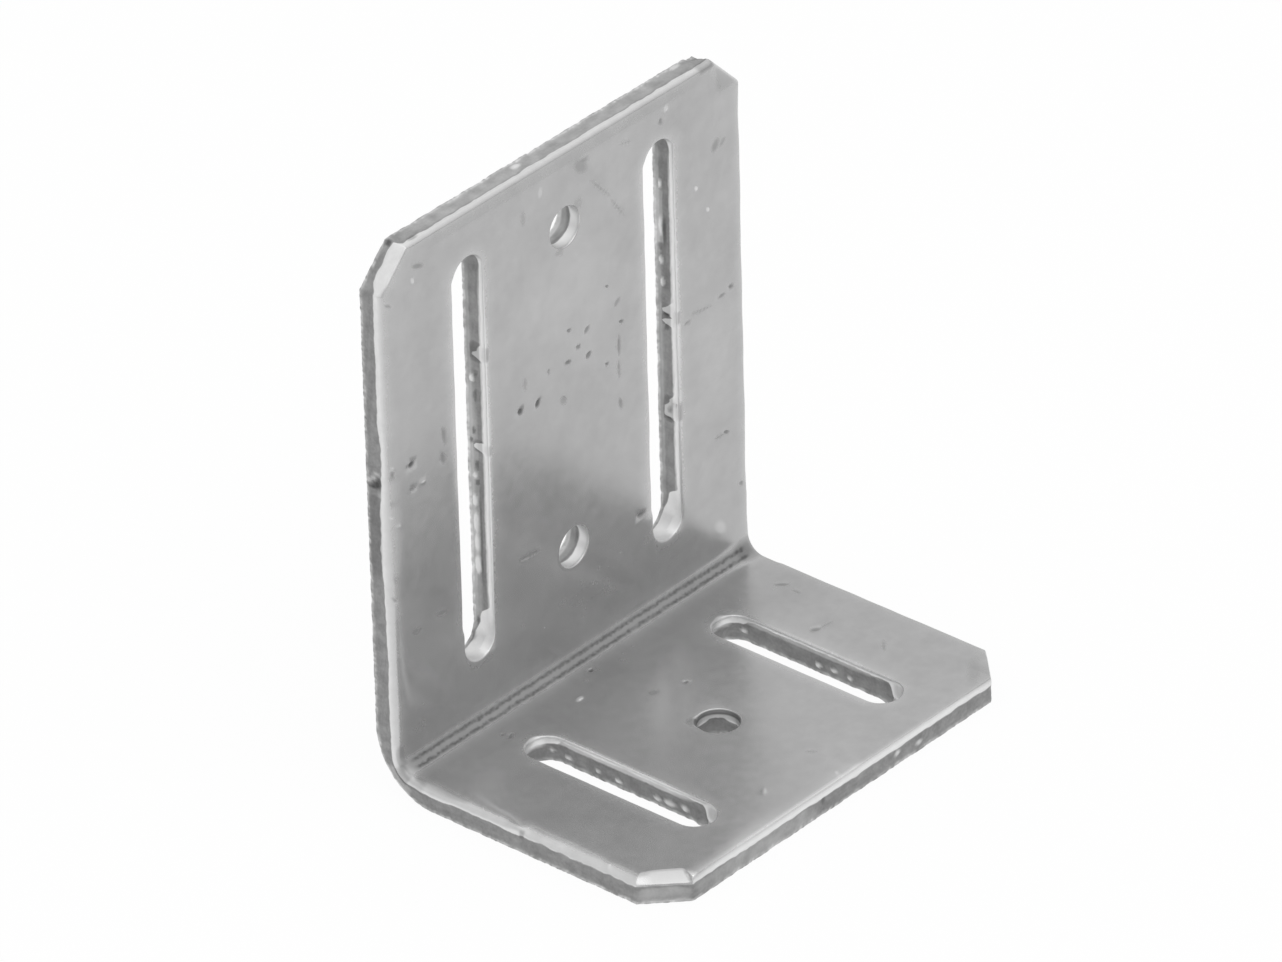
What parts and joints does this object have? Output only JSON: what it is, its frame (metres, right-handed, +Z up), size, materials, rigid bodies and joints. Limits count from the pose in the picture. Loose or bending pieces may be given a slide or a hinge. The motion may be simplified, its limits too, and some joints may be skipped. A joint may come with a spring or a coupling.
{
  "type": "angle bracket",
  "caption": "Thick galvanised steel angle bracket folded from one plate, with cut corners, long slots near the sides of both legs and round bolt holes on the centre line.",
  "frame": {"origin": "middle of the rectangle the bracket covers on the floor, at the height of the underside", "axes": "+X along the fold, to the right as seen from in front. +Y towards the back face of the upright leg, so the foot leg reaches towards -Y. +Z up along the upright leg"},
  "size_m": [0.11, 0.0764, 0.125],
  "materials": {
    "galvanised_steel": "hot-dip galvanised, satin grey with faint mottling"
  },
  "bodies": {
    "root": {"bracket": "galvanised_steel"}
  },
  "joints": []
}
